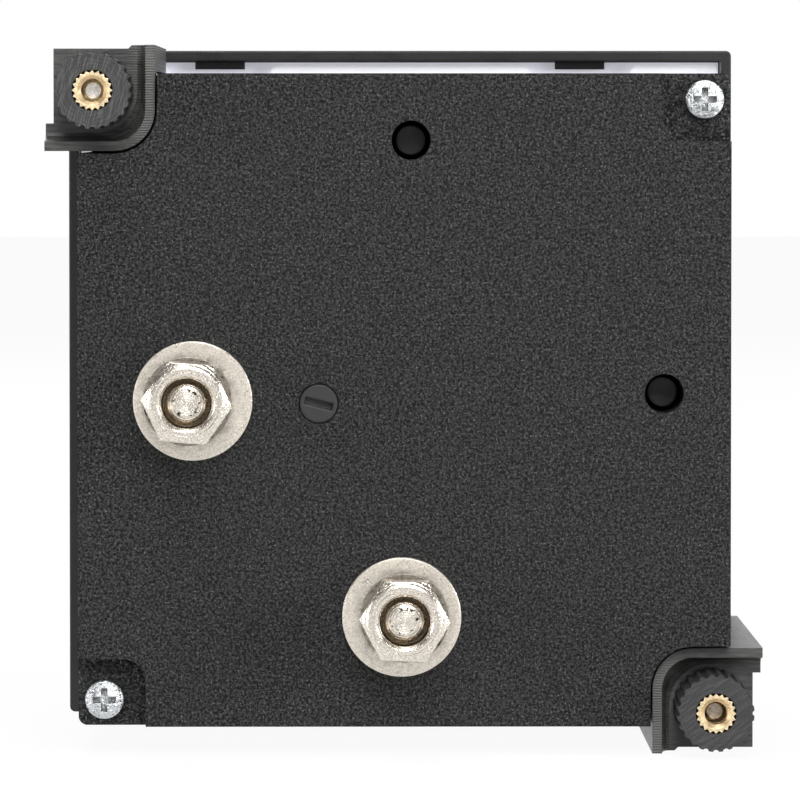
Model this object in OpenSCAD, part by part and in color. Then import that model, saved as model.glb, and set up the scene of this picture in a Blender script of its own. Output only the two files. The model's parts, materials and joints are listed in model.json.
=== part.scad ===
// Square 72 mm analog panel meter with a quarter-circle moving-coil movement.
//
// The dial faces -Y, the terminals face +Y and +Z is up. The origin is the centre of the plane
// where the front frame seats on the panel. All modules below are written as the meter is seen
// from behind: x to the right, y up, z towards the terminals. rear_frame() turns that view into
// the part's own frame.

/* [Front frame] */
// Outer width and height of the front frame
bezel_size = 72; // [66:0.5:84]
// Depth of the front frame in front of the panel
bezel_depth = 5.5; // [5.2:0.1:7]
// Thickness of the frame's rim where it seats on the panel
bezel_wall = 1.1; // [0.8:0.1:1.3]
// Radius of the frame's outer corners
bezel_corner_r = 0.6; // [0.3:0.1:0.9]
// Thickness of the front lip that holds the window
lip_t = 1.4; // [1:0.1:1.8]
// Width of the front lip round the viewing opening
lip_w = 3.8; // [3.6:0.1:4.4]
// Width of the bevel round the viewing opening
lip_bevel = 0.7; // [0.2:0.1:0.8]
// Width of a snap tab
tab_w = 5.4; // [3:0.2:8]
// Distance of each snap tab's middle in from the frame's corner
tab_inset = 16.4; // [14:0.2:20]
// How far a snap tab reaches in from the rim
tab_reach = 0.9; // [0.5:0.1:1]
// Thickness of a snap tab
tab_t = 0.9; // [0.6:0.1:1.1]
// Radius of the corner panel round the pointer's axis
panel_r = 10.5; // [9.6:0.1:12]

/* [Window, tray and dial] */
// Thickness of the window's flange behind the lip
flange_t = 1.2; // [0.8:0.1:1.6]
// Thickness of the window pane
pane_t = 1.5; // [1:0.1:1.8]
// How far the pane stays behind the face of the frame
pane_recess = 0.2; // [0:0.05:0.4]
// Width of the seat that the pane leaves round its hollow back
pane_rim = 1.05; // [0.8:0.05:2]
// Thickness of the dial tray's plate
plate_t = 1.2; // [0.8:0.1:1.6]
// Width of each notch that clears a snap tab
tab_notch_w = 10.9; // [9:0.1:12]
// Depth of each notch that clears a snap tab
tab_notch_depth = 1.75; // [1.2:0.05:2]
// Radius of the notch corners
tab_notch_r = 0.9; // [0.3:0.1:1.1]
// Radius of the plate's corners at the mouth of each notch
tab_mouth_r = 1.2; // [0.3:0.1:1.5]
// Radius of the plate's own four corners
plate_corner_r = 0.7; // [0.3:0.1:1.5]
// Wall of the dial tray
tray_wall = 1; // [0.8:0.1:1.4]
// Thickness of the tray's floor under the dial
tray_floor_t = 1.2; // [0.8:0.1:1.6]
// Width of the ledge that carries the dial
tray_ledge = 3; // [2:0.1:3.4]
// Depth of the dial's face behind the panel plane
dial_depth = 0.8; // [0.6:0.1:1.2]
// Thickness of the dial
dial_t = 0.6; // [0.4:0.1:1]
// How far the dial reaches under the corner panel
dial_under = 1; // [0.4:0.1:1.2]
// Diameter of a dial screw's shank
dial_screw_d = 1.5; // [1.2:0.1:1.8]
// Diameter of a dial screw's head
dial_screw_head_d = 3; // [2.4:0.1:3.6]
// Height of a dial screw's head
dial_screw_head_h = 1; // [0.7:0.1:1.2]
// Distance of each dial screw in from the dial's edges
dial_screw_inset = 2.2; // [2:0.1:2.6]

/* [Rear case] */
// How far the rear case stays inside the front frame's edge
case_inset = 2.75; // [2.5:0.05:3.5]
// Depth of the rear case behind the panel plane
case_depth = 50; // [49:0.5:62]
// Thickness of the case's side walls
case_wall = 1.2; // [1:0.05:1.3]
// Thickness of the case's back wall
back_wall = 2; // [1.6:0.1:2.6]
// Radius of the case's outer corners
case_corner_r = 0.9; // [0.4:0.1:1.1]
// Side of the square corner notch for a clamp
notch_size = 8.15; // [8:0.05:8.6]
// Radius of the notch's inner corner
notch_r = 4.4; // [3.6:0.1:5]
// Distance from the panel plane to the notch's floor
notch_front = 7; // [6.5:0.5:10]
// Thickness of the notch's floor
notch_floor_t = 2.2; // [2:0.1:2.3]
// Side of the lowered corner pad under a case screw
pad_size = 6.9; // [6:0.1:8]
// How far a corner pad lies below the back
pad_depth = 2.4; // [1.6:0.1:3]
// Radius of the pad's inner corner
pad_r = 2.3; // [1:0.1:3]
// Diameter of the two locating holes in the back
peg_hole_d = 4; // [3.8:0.1:4.6]
// Distance of each locating hole in from the nearer side of the case
peg_inset = 6.8; // [6.2:0.05:8]
// Distance of each locating hole from the case's centre line
peg_near = 0.7; // [0:0.1:2]
// Wall of the tube behind each locating hole
peg_tube_wall = 1.2; // [0.8:0.1:1.6]
// Length of the tube inside the back wall
peg_tube_len = 6; // [5:0.5:8]

/* [Case screws] */
// Distance of each case screw in from the case's sides
screw_inset = 2.65; // [2.5:0.05:2.75]
// Shank diameter of a case screw
screw_d = 2; // [1.8:0.05:2.1]
// Length of a case screw under its head
screw_len = 10; // [8:1:14]
// Head diameter of a case screw
screw_head_d = 3.9; // [3.6:0.1:4.2]
// Head height of a case screw
screw_head_h = 1.5; // [1.2:0.1:1.7]
// Length of an arm pair of the cross recess in a case screw
recess_len = 2.4; // [1.8:0.1:2.8]
// Width of an arm of the cross recess
recess_w = 0.65; // [0.5:0.05:0.8]
// Depth of the cross recess
recess_depth = 0.9; // [0.6:0.1:1.1]
// Radial gap between a case screw and its hole in the case
screw_gap = 0.3; // [0.1:0.05:0.4]
// Side of the tray's pillar that takes the screw
pillar_size = 3.4; // [3.2:0.1:3.5]

/* [Clamps] */
// Distance of a clamp rod in from the case's sides
rod_inset = 1.75; // [1.6:0.05:1.9]
// Mean thread diameter of the clamp rod
rod_d = 2.2; // [2:0.1:2.4]
// How deep the rod is fixed in the notch's floor
rod_grip = 1.7; // [1.2:0.1:1.9]
// Radial gap between the rod and its hole in the bracket
rod_hole_gap = 0.2; // [0.1:0.05:0.4]
// How far the rod's end stands behind the case
rod_proud = 2; // [1.5:0.5:3]
// Thickness of the panel that the clamps are set for
panel_t = 3; // [2.5:0.1:3.5]
// Thickness of the bracket's two legs
leg_t = 2.3; // [2:0.1:2.35]
// Thickness of the bracket's floor under the thumb nut
bracket_floor_t = 3.5; // [2.5:0.5:5]
// How far the bracket's floor lies below the case's back
bracket_floor_depth = 5; // [4:0.5:6]
// Height of the bracket's rim over its floor
rim_h = 3.5; // [2.5:0.1:4]
// Thickness of the bracket's rim
rim_t = 1; // [0.8:0.05:1.1]
// Gap between the thumb nut and the cove round it
cove_gap = 0.4; // [0.3:0.05:0.6]
// Radius of the bracket's inner corner
bracket_r = 4.2; // [3.6:0.1:4.4]
// Width of the rib at the end of each leg
rib_w = 2.8; // [2:0.1:3.4]
// How far the rib stands out from the leg's long side
rib_side = 0.8; // [0.3:0.1:1]
// How far the rib stands out from the leg's top or bottom
rib_edge = 0.35; // [0.2:0.05:0.5]
// Diameter of the thumb nut
knob_d = 7.8; // [7.4:0.1:8]
// Height of the thumb nut
knob_h = 10; // [8:0.5:12]
// Number of grooves round the thumb nut
knob_grooves = 24; // [18:1:26]
// Radius of a thumb nut groove
groove_r = 0.35; // [0.2:0.05:0.4]
// Diameter over the teeth of the brass insert
insert_d = 4.1; // [3.8:0.1:4.6]
// Number of teeth on the brass insert
insert_teeth = 20; // [16:1:24]
// Height of an insert tooth
tooth_h = 0.28; // [0.2:0.02:0.36]
// Length of the brass insert
insert_len = 7; // [5:0.5:7.5]
// Chamfer at the mouth of the brass insert
insert_chamfer = 0.4; // [0.2:0.05:0.5]

/* [Terminals] */
// Distance of each terminal in from the nearer side of the case
terminal_inset = 11.25; // [10.5:0.05:12]
// Diameter of the terminal stud
stud_d = 5; // [4.6:0.1:5.2]
// Diameter of the stud past its last thread
stud_root_d = 4.3; // [3.8:0.1:4.5]
// Diameter of the flat at the end of the stud
stud_tip_d = 2.4; // [1.5:0.1:3.5]
// Length of the stud's domed end
stud_tip_len = 0.8; // [0.4:0.1:1.2]
// How far the stud's end stays below the top of the nut
stud_sunk = 0.9; // [0.2:0.1:1.5]
// Diameter of the flat washer
washer_d = 12.1; // [11:0.1:13]
// Thickness of the flat washer
washer_t = 1.1; // [0.8:0.1:1.4]
// Diameter of the spring washer
spring_washer_d = 9; // [8.4:0.1:9.6]
// Thickness of the spring washer
spring_washer_t = 1.5; // [1.2:0.1:1.8]
// Width of the slit in the spring washer
spring_slit = 0.6; // [0.4:0.1:1]
// Width across the flats of the hexagon nut
nut_af = 8; // [7.8:0.1:8.4]
// Height of the hexagon nut
nut_h = 5; // [4:0.1:5.5]
// Diameter of the nut's end face inside its chamfer
nut_face_d = 7.2; // [6.8:0.1:7.6]
// Diameter of the countersink in the nut
nut_sink_d = 5.8; // [5.6:0.1:6.2]
// Height of the stud's head inside the case
stud_head_h = 3; // [2.5:0.1:3.5]
// Diameter of the stud's neck that passes through the circuit board
stud_neck_d = 4; // [3.5:0.1:4.2]
// Width across the flats of the nut under the circuit board
board_nut_af = 7; // [6.6:0.1:7.4]
// Height of the nut under the circuit board
board_nut_h = 2.2; // [1.8:0.1:3]
// Thickness of a solder tag
tag_t = 0.6; // [0.4:0.1:1]
// Length of a solder tag's tail from the stud's axis
tag_len = 9; // [7:0.5:10]
// Width of a solder tag's tail
tag_w = 3; // [2:0.1:4]

/* [Movement] */
// Gap between the iron return ring and the case's walls
yoke_gap = 0.55; // [0.4:0.05:1]
// Distance from the pointer's tip to the dial's far edge
pointer_tip_gap = 7.25; // [4:0.25:10]
// Thickness of the pointer
pointer_t = 0.3; // [0.2:0.05:0.35]
// Width of the pointer at its root
pointer_root_w = 1.2; // [0.8:0.1:1.6]
// Width of the pointer at its tip
pointer_tip_w = 0.3; // [0.2:0.05:0.5]
// Outer diameter of the iron return ring
yoke_d = 24; // [21:0.1:26.4]
// Wall of the iron return ring
yoke_wall = 2.8; // [2.2:0.1:2.9]
// Height of the iron return ring
yoke_h = 12; // [9:0.5:14]
// Gap between the return ring and the coil
coil_gap = 0.6; // [0.4:0.05:0.8]
// Gap between the coil and the core magnet
core_gap = 0.5; // [0.3:0.05:0.7]
// How far the core magnet's ends stay inside the ring's ends
core_inset = 0.5; // [0.2:0.1:1]
// Width of the moving coil
coil_w = 3; // [2:0.1:3.4]
// Thickness of the coil's winding
winding_t = 0.8; // [0.4:0.05:0.9]
// Thickness of the coil's aluminium frame
former_t = 0.3; // [0.2:0.05:0.4]
// Diameter of the coil's front and rear staffs
staff_d = 1.2; // [0.8:0.1:1.3]
// Thickness of the movement frame's plate
frame_plate_t = 2; // [1.6:0.1:2.4]
// Height of the collar that carries the return ring
collar_len = 4.4; // [4:0.1:6]
// Thickness of the core holder's ring
holder_t = 1.2; // [0.8:0.1:1.6]
// Thickness of the two bridges
bridge_t = 0.8; // [0.6:0.1:1]
// Width of the two bridges
bridge_w = 3.5; // [3:0.1:4]
// Radius of a bridge's posts
post_r = 1; // [0.8:0.1:1.2]
// Distance of the front bridge's posts from the axis
post_reach = 6; // [5.9:0.1:6.4]
// Gap between the coil's end and the rear bridge
rear_bridge_gap = 2.6; // [2:0.1:3.4]
// Gap between the window and the front jewel screw
jewel_window_gap = 0.4; // [0.2:0.05:0.6]
// Radius of a jewel screw's sleeve
jewel_r = 0.9; // [0.8:0.05:1]
// Radius of a jewel screw's head
jewel_head_r = 1.9; // [1.6:0.1:2.2]
// Thickness of a jewel screw's head
jewel_head_t = 0.4; // [0.3:0.05:0.5]
// How far a jewel screw stands out past its bridge
jewel_proud = 0.3; // [0.2:0.05:0.4]
// Radius of the front bridge's collar
collar_r = 1.5; // [1.4:0.05:1.6]
// Height of the front bridge's collar
collar_h = 0.5; // [0.45:0.05:0.7]
// Distance of the zero screw from the pointer's axis
zero_reach = 8; // [7.5:0.1:8.2]
// Throw of the zero screw's pin
pin_throw = 0.6; // [0.3:0.1:0.7]
// Diameter of the zero screw's pin
pin_d = 0.7; // [0.5:0.1:0.9]
// Diameter of the zero screw's face
zero_d = 4.8; // [4:0.1:5]
// Width of the slot in the zero screw
zero_slot_w = 0.8; // [0.6:0.1:1.2]
// How far the zero screw's flange reaches out behind the lip
zero_flange_w = 0.8; // [0.5:0.1:1]
// Thickness of the zero screw's flange
zero_flange_t = 0.5; // [0.4:0.05:0.6]
// Thickness of the zero lever
lever_t = 0.35; // [0.25:0.05:0.4]
// Width of the zero lever's arm
lever_arm_w = 1.8; // [1.5:0.1:2.2]
// Distance of the hairsprings' outer ends from the axis
spring_post_reach = 4.3; // [4:0.1:4.4]
// Radius of the posts that hold the hairsprings
spring_post_r = 0.3; // [0.25:0.05:0.35]
// Gap between the front bridge and the pointer
pointer_gap = 1.1; // [1:0.05:1.3]
// Gap between the front hairspring and the pointer
hairspring_gap = 0.35; // [0.25:0.05:0.4]
// Gap between the coil's end and the rear hairspring
rear_hairspring_gap = 1; // [0.8:0.1:1.4]
// Width of the hairspring's strip
hairspring_t = 0.3; // [0.2:0.05:0.35]
// Depth of the staffs' points in their jewel cups
tip_depth = 0.4; // [0.35:0.05:0.5]
// Radius at which a hairspring starts
hairspring_in_r = 0.95; // [0.85:0.05:1.1]
// Radius of the hubs of the pointer and the balance cross
hub_r = 1.5; // [1.2:0.1:1.8]
// Thickness of the balance cross
balance_t = 0.4; // [0.3:0.05:0.5]
// Width of the balance cross's arms
balance_arm_w = 0.8; // [0.6:0.1:1]
// Distance of the tail weight from the axis
tail_reach = 7; // [6:0.1:7.2]
// Distance of the side weights from the axis
side_reach = 3.6; // [3.2:0.1:3.8]
// Radius of the tail weight
tail_weight_r = 1; // [0.7:0.1:1.2]
// Radius of the side weights
side_weight_r = 0.6; // [0.4:0.1:0.7]
// Height of the tail weight
tail_weight_h = 1.7; // [1:0.1:2]
// Height of the side weights
side_weight_h = 0.8; // [0.5:0.1:1.2]
// Number of turns in a hairspring
hairspring_turns = 4; // [3:1:5]
// Thickness of the hairspring's strip
strip_t = 0.14; // [0.1:0.02:0.2]

/* [Circuit] */
// How far the circuit board reaches past the terminals' centre lines
board_reach = 6; // [5:0.5:7]
// Thickness of the circuit board
board_t = 1.6; // [1:0.1:2]
// Distance of the board's outer edges in from the case's sides
board_inset = 5.25; // [5:0.05:6.5]
// Distance from the back wall to the board
board_gap = 7; // [6:0.5:9]
// Diameter of the slotted trimmer spindle
trimmer_d = 3.9; // [3.4:0.1:4.2]
// Diameter of the trimmer's shaft inside its body
trimmer_shaft_d = 2.7; // [2:0.1:3]
// Sideways distance of the trimmer from the left-hand terminal
trimmer_reach = 13.3; // [12:0.1:14]
// Height of the trimmer above the centre line
trimmer_y = -0.3; // [-2:0.1:2]
// Length of the slot in the trimmer
trimmer_slot_len = 2.9; // [2:0.1:3.1]
// Width of the slot in the trimmer
trimmer_slot_w = 0.75; // [0.5:0.05:1]
// Side of the trimmer's square body
trimmer_body = 9; // [7:0.5:10]
// Height of the trimmer's body
trimmer_body_h = 4; // [3:0.1:4.5]
// Height of the floor that the trimmer's shaft turns on
trimmer_floor = 1.3; // [1:0.1:2]
// Diameter of the two inner leads
lead_d = 0.9; // [0.6:0.1:1.2]
// Distance of the resistor's middle from the board's left edge
resistor_x = 11; // [10.5:0.1:11.2]
// Distance of the resistor's middle from the board's lower edge
resistor_y = 16; // [12:0.5:16]
// Distance of the rectifier from the board's left edge
rectifier_x = 18; // [17.8:0.1:19]
// Distance of the rectifier from the board's lower edge
rectifier_y = 12; // [11:0.5:14]

/* [Fits] */
// Radial gap of a turning or sliding fit
run_gap = 0.05; // [0.02:0.01:0.08]
// Gap between pieces that move past each other
move_gap = 0.1; // [0.08:0.01:0.15]
// Gap between a clamp bracket and the case
bracket_gap = 0.25; // [0.2:0.01:0.3]
// Gap round a piece that is laid into a moulded seat
seat_gap = 0.15; // [0.1:0.01:0.2]
// Radial gap of a pressed or glued joint
press_gap = 0.02; // [0.01:0.005:0.03]

/* [Hidden] */
$fn = 64;

// Far enough past any face for a clean cut
cut = 1;
// Thickness of a slice that stands for an edge
slice = 0.01;

// Half sizes, from the front frame inwards
bezel_half = bezel_size / 2;
rim_half = bezel_half - bezel_wall;
aperture_size = bezel_size - 2 * lip_w;
aperture_half = aperture_size / 2;
tab_at = bezel_half - tab_inset;
plate_half = rim_half - 2 * seat_gap;
case_size = bezel_size - 2 * case_inset;
case_half = case_size / 2;
tray_half = case_half - case_wall - seat_gap;
tray_in = tray_half - tray_wall;
dial_half = tray_in - seat_gap;
dial_screw_at = dial_half - dial_screw_inset;
dial_cut_r = panel_r - dial_under;
pillar_at = tray_half - pillar_size;

// Depths of the front stack, from the lip back to the movement
face_z = -bezel_depth;
lip_z = face_z + lip_t;
flange_z = lip_z + flange_t;
plate_z = flange_z + plate_t;
pane_z = face_z + pane_recess;
hollow_z = pane_z + pane_t;
tray_seat_z = dial_depth + dial_t;
tray_back_z = tray_seat_z + tray_floor_t;
frame_back_z = tray_back_z + frame_plate_t;

// Case
back_z = case_depth;
wall_z = back_z - back_wall;
pad_z = back_z - pad_depth;
pad_in_z = pad_z - back_wall;
notch_in_z = notch_front - notch_floor_t;
screw_at = case_half - screw_inset;
notch_at = case_half - notch_size;
peg_far = case_half - peg_inset;
peg_places = [[peg_near, peg_far], [peg_far, peg_near]];
rod_at = case_half - rod_inset;
rod_foot_z = notch_front - rod_grip;
terminal_offset = case_half - terminal_inset;

// Clamp brackets, as distances from the case's centre lines
bracket_in = notch_at + bracket_gap;
leg_in = case_half + bracket_gap;
leg_out = leg_in + leg_t;
floor_z = back_z - bracket_floor_depth;
rim_z = floor_z + rim_h;
cup_z = floor_z - bracket_floor_t;
rod_hole_d = rod_d + 2 * rod_hole_gap;
knob_z = floor_z + move_gap;
knob_top_z = knob_z + knob_h;
rod_end_z = back_z + rod_proud;
rod_tip_h = 0.3;

// Terminal stacks, from the case's back outwards
case_hole_d = stud_d + 2 * seat_gap;
spring_z = back_z + washer_t;
nut_z = spring_z + spring_washer_t + move_gap;
nut_top_z = nut_z + nut_h;
stud_end_z = nut_top_z - stud_sunk;
stud_head_z = wall_z - tag_t - stud_head_h;
// How far each flat washer lies off its stud
washer_shift = [0.5, -0.27];
washer_hole_d = stud_d + 2 * move_gap + 2 * max(washer_shift);
// How far each hexagon nut is turned
nut_turn = [-5, -2];
// Angle of the nut's end chamfers
nut_chamfer = 30;

// Movement, along the pointer's axis
yoke_r = yoke_d / 2;
gap_out_r = yoke_r - yoke_wall;
winding_r = gap_out_r - coil_gap;
winding_in_r = winding_r - winding_t;
former_r = winding_in_r - former_t;
core_r = former_r - core_gap;
pivot_offset = case_half - case_wall - yoke_gap - yoke_r;
pivot = -pivot_offset;
pointer_len = pivot_offset + dial_half - pointer_tip_gap;
yoke_z = frame_back_z + collar_len;
yoke_end_z = yoke_z + yoke_h;
core_z = yoke_z + core_inset;
core_end_z = yoke_end_z - core_inset;
former_z = core_z - core_gap - former_t;
former_end_z = core_end_z + core_gap + former_t;
winding_z = former_z - winding_t;
winding_end_z = former_end_z + winding_t;
holder_end_z = yoke_end_z + holder_t;
rear_post_reach = (yoke_r + gap_out_r) / 2;
rear_bridge_z = winding_end_z + rear_bridge_gap;
rear_hairspring_z = winding_end_z + rear_hairspring_gap;
front_jewel_z = hollow_z + jewel_window_gap;
front_jewel_len = jewel_head_t + collar_h + bridge_t + jewel_proud;
front_bridge_z = front_jewel_z + jewel_head_t + collar_h;
rear_jewel_z = rear_bridge_z + bridge_t + jewel_head_t;
rear_jewel_len = jewel_head_t + bridge_t + jewel_proud;
lever_z = front_bridge_z - move_gap - lever_t;
lever_ring_r = collar_r + move_gap;
pointer_z = front_bridge_z + bridge_t + pointer_gap;
hairspring_z = pointer_z - hairspring_gap - hairspring_t;
balance_z = pointer_z + pointer_t;
zero_at = pivot - zero_reach / sqrt(2);

// Circuit
board_z = wall_z - board_gap;
board_face_z = board_z - board_t;
board_edge = case_half - board_inset;
board_size = board_edge + board_reach;
trimmer_x = trimmer_reach - terminal_offset;
shaft_z = board_z + trimmer_floor;

// A thin flat part of thickness h, drawn at depth z
module layer(z, h) { translate([0, 0, z]) linear_extrude(h) children(); }

// A round bar between two depths
module bar(d, z0, z1) { translate([0, 0, z0]) cylinder(h = z1 - z0, d = d); }

// A square with rounded corners
module rounded_square(size, r) {
    square([size, size - 2 * r], center = true);
    square([size - 2 * r, size], center = true);
    for (x = [-1, 1], y = [-1, 1])
        translate([x, y] * (size / 2 - r)) circle(r);
}

// A block that runs from (near, near) out past (far, far), with its inner corner rounded
module corner_block(near, far, r) {
    translate([near + r, near]) square([far - near - r, far - near]);
    translate([near, near + r]) square([far - near, far - near - r]);
    translate([near + r, near + r]) circle(r);
}

// Turns the view from behind into the part's own frame
module rear_frame() { rotate([90, 0, 180]) children(); }

// A place on the pointer's axis
module at_pivot() { translate([pivot, pivot, 0]) children(); }

// Clamp 0 sits at the upper left and clamp 1 at the lower right, seen from behind
module at_clamp(i) { rotate(90 + 180 * i) children(); }

// Terminal 0 sits at the left and terminal 1 at the bottom, seen from behind
module at_terminal(i) {
    rotate(90 * i) translate([-terminal_offset, 0, 0]) rotate(-90 * i) children();
}

// ---------------------------------------------------------------- front frame, window, dial

// The viewing opening: a square with the corner panel taken out of it
module aperture_outline(inset) {
    difference() {
        square(aperture_size - 2 * inset, center = true);
        rotate(180) corner_block(pivot_offset - panel_r - inset, bezel_half, panel_r + inset);
    }
}

module snap_tabs() {
    for (x = [-1, 1] * tab_at, s = [0, 180])
        rotate(s) translate([x - tab_w / 2, rim_half - tab_reach, flange_z])
            cube([tab_w, tab_reach + bezel_wall / 2, tab_t]);
}

module side_catches() {
    catch_reach = rim_half - plate_half + tab_reach / 2;
    for (y = [-1, 1] * tab_at, s = [90, 270])
        rotate(s) translate([y - tab_w / 2, rim_half - catch_reach, plate_z])
            cube([tab_w, catch_reach + bezel_wall / 2, tab_t]);
}

module bezel() {
    color("#17181a") rear_frame() {
        difference() {
            layer(face_z, bezel_depth) rounded_square(bezel_size, bezel_corner_r);
            layer(lip_z, bezel_depth) square(2 * rim_half, center = true);
            layer(face_z - cut, lip_t + 2 * cut) aperture_outline(0);
            bezel_slope();
            translate([zero_at, zero_at]) bar(zero_d + 2 * move_gap, face_z - cut, lip_z + cut);
        }
        snap_tabs();
        side_catches();
    }
}

// The slope from the frame's face down into the viewing opening
module bezel_slope() {
    for (s = [0, 90, 180, 270])
        rotate([0, 0, s]) translate([aperture_half, 0, face_z])
            rotate([0, 45, 0])
                cube([lip_bevel * sqrt(2), aperture_size, lip_bevel * sqrt(2)], center = true);
}

module window() {
    color("#dfe8ec", 0.35) rear_frame() difference() {
        union() {
            layer(pane_z, lip_z - pane_z) aperture_outline(seat_gap);
            layer(lip_z, flange_t) square(2 * (rim_half - seat_gap), center = true);
        }
        layer(hollow_z, bezel_depth) square(aperture_size - 2 * pane_rim, center = true);
        layer(lip_z - cut, bezel_depth) rotate(180)
            corner_block(pivot_offset - panel_r + pane_rim, aperture_half - pane_rim, panel_r - pane_rim);
    }
}

module zero_screw() {
    color("#17181a") rear_frame() translate([zero_at, zero_at]) {
        difference() {
            union() {
                bar(zero_d, face_z, lip_z + move_gap);
                bar(zero_d + 2 * zero_flange_w, lip_z + run_gap, lip_z + run_gap + zero_flange_t);
            }
            translate([0, 0, face_z]) cube([2 * zero_d, zero_slot_w, 2 * zero_slot_w], center = true);
        }
        rotate(225) translate([pin_throw, 0]) bar(pin_d, lip_z + run_gap, lever_z + lever_t);
    }
}

// The four notches in the plate's edges, rounded at the foot and at the mouth
module tab_notches() {
    for (x = [-1, 1] * tab_at, s = [0, 180])
        rotate(s) translate([x, plate_half - tab_notch_depth]) {
            translate([-tab_notch_w / 2 + tab_notch_r, 0])
                square([tab_notch_w - 2 * tab_notch_r, tab_notch_depth + cut]);
            translate([-tab_notch_w / 2, tab_notch_r]) square([tab_notch_w, tab_notch_depth]);
            for (e = [-1, 1] * (tab_notch_w / 2 - tab_notch_r))
                translate([e, tab_notch_r]) circle(tab_notch_r);
            for (m = [0, 1])
                mirror([m, 0]) translate([tab_notch_w / 2 + tab_mouth_r, tab_notch_depth - tab_mouth_r])
                    difference() {
                        translate([-tab_mouth_r - cut, 0]) square(tab_mouth_r + cut);
                        circle(tab_mouth_r);
                    }
        }
}

module dial_tray() {
    color("#e9ebee") rear_frame() difference() {
        union() {
            layer(flange_z, plate_t) difference() {
                rounded_square(2 * plate_half, plate_corner_r);
                tab_notches();
            }
            layer(flange_z, tray_back_z - flange_z) square(2 * tray_half, center = true);
            for (s = [0, 180])
                rotate(s) translate([pillar_at, pillar_at, tray_seat_z])
                    cube([pillar_size, pillar_size, pad_in_z - tray_seat_z]);
        }
        layer(flange_z - cut, tray_seat_z - flange_z + cut) square(2 * tray_in, center = true);
        layer(tray_seat_z - cut, 3 * cut + tray_floor_t) difference() {
            square(2 * (tray_half - tray_ledge) - tray_wall, center = true);
            for (s = [0, 180])
                rotate(s) translate([pillar_at - tray_wall, pillar_at - tray_wall]) square(2 * pillar_size);
            for (s = [90, 270])
                rotate(s) translate([dial_screw_at, dial_screw_at] - [1, 1] * dial_screw_head_d / 2)
                    square(2 * pillar_size);
        }
        for (s = [0, 180])
            rotate(s) translate([screw_at, screw_at])
                bar(screw_d + 2 * press_gap, pad_in_z - screw_len, back_z);
        for (s = [90, 270])
            rotate(s) translate([dial_screw_at, dial_screw_at])
                bar(dial_screw_d + 2 * press_gap, tray_seat_z - cut, tray_back_z + cut);
    }
}

module dial_plate() {
    color("#f4f4f1") rear_frame() layer(dial_depth, dial_t) difference() {
        square(2 * dial_half, center = true);
        translate([pivot, pivot]) circle(dial_cut_r);
        translate([pivot - dial_half, pivot - dial_half]) square([dial_half, dial_half + dial_cut_r]);
        translate([pivot - dial_half, pivot - dial_half]) square([dial_half + dial_cut_r, dial_half]);
        for (s = [90, 270])
            rotate(s) translate([dial_screw_at, dial_screw_at])
                circle(d = dial_screw_d + 2 * seat_gap);
    }
}

module dial_screw(i) {
    slot_w = dial_screw_head_h / 2;
    color("#c9ccd0") rear_frame() rotate(90 + 180 * i) translate([dial_screw_at, dial_screw_at])
        difference() {
            union() {
                bar(dial_screw_d, dial_depth - slot_w, tray_back_z);
                bar(dial_screw_head_d, dial_depth - dial_screw_head_h, dial_depth);
            }
            translate([0, 0, dial_depth - dial_screw_head_h])
                cube([2 * dial_screw_head_d, slot_w, 2 * slot_w], center = true);
        }
}

// ---------------------------------------------------------------- rear case and its screws

module case_outline(inset) {
    difference() {
        rounded_square(case_size - 2 * inset, max(case_corner_r - inset, case_corner_r / 3));
        for (s = [90, 270])
            rotate(s) corner_block(notch_at - inset, bezel_half, notch_r + inset);
    }
}

module case_pads(grow) {
    for (s = [0, 180])
        rotate(s) corner_block(case_half - pad_size - grow, bezel_half, pad_r + grow);
}

module rear_case() {
    peg_tube_d = peg_hole_d + 2 * peg_tube_wall;
    color("#202123") rear_frame() difference() {
        union() {
            difference() {
                union() {
                    layer(plate_z, notch_front - plate_z) rounded_square(case_size, case_corner_r);
                    layer(notch_front, back_z - notch_front) case_outline(0);
                }
                layer(plate_z - cut, notch_in_z - plate_z + cut)
                    square(2 * (case_half - case_wall), center = true);
                layer(notch_in_z - cut, pad_in_z - notch_in_z + cut) case_outline(case_wall);
                layer(pad_in_z - cut, wall_z - pad_in_z + cut) difference() {
                    case_outline(case_wall);
                    case_pads(back_wall);
                }
                layer(pad_z, pad_depth + cut) case_pads(0);
            }
            for (p = peg_places)
                translate(p) bar(peg_tube_d, wall_z - peg_tube_len, wall_z + back_wall / 2);
        }
        for (p = peg_places)
            translate(p) bar(peg_hole_d, wall_z - peg_tube_len - cut, back_z + cut);
        for (i = [0, 1])
            at_terminal(i) bar(case_hole_d, wall_z - cut, back_z + cut);
        translate([trimmer_x, trimmer_y]) bar(trimmer_d + 2 * move_gap, wall_z - cut, back_z + cut);
        for (s = [0, 180])
            rotate(s) translate([screw_at, screw_at]) bar(screw_d + 2 * screw_gap, pad_in_z - cut, back_z);
        for (i = [0, 1])
            at_clamp(i) translate([rod_at, rod_at])
                bar(rod_d + 2 * press_gap, rod_foot_z, notch_front + cut);
    }
}

module case_screw(i) {
    color("#b9bcc2") rear_frame() rotate(180 * i) translate([screw_at, screw_at]) difference() {
        union() {
            bar(screw_d, pad_z - screw_len, pad_z + screw_head_h - recess_depth);
            translate([0, 0, pad_z]) intersection() {
                cylinder(h = screw_head_h, d = screw_head_d);
                translate([0, 0, screw_head_h - screw_head_d]) sphere(screw_head_d);
            }
        }
        for (s = [0, 90])
            translate([0, 0, pad_z + screw_head_h]) rotate(s)
                cube([recess_len, recess_w, 2 * recess_depth], center = true);
    }
}

// ---------------------------------------------------------------- movement

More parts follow.
